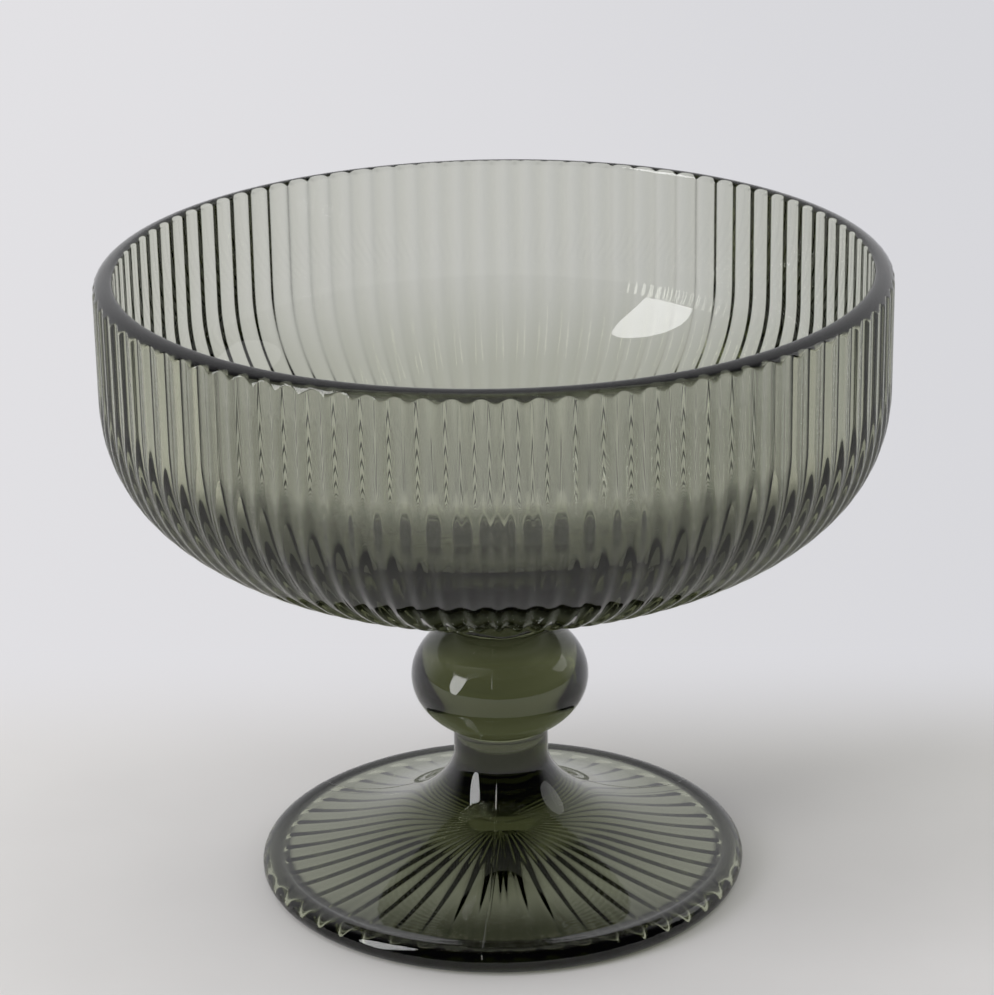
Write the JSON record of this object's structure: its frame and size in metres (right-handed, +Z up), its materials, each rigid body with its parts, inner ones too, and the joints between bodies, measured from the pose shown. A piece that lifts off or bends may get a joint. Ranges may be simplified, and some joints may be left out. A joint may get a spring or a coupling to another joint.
{
  "type": "footed bowl",
  "caption": "Footed bowl in pressed smoky glass: straight reeded side, rounded base, smooth ball stem and a wide round foot with reeds in the hollow under it.",
  "frame": {"origin": "on the table, under the centre of the foot", "axes": "+Z up along the bowl's round axis; -Y points to the viewer of the picture"},
  "size_m": [0.15, 0.15, 0.1254],
  "materials": {
    "bowl_glass": "glossy, smoky grey-green",
    "wafer_glass": "glossy, smoky grey-green",
    "stem_glass": "glossy, smoky grey-green"
  },
  "bodies": {
    "root": {"bowl": "bowl_glass", "joining_wafer": "wafer_glass", "stem_and_foot": "stem_glass"}
  },
  "joints": []
}
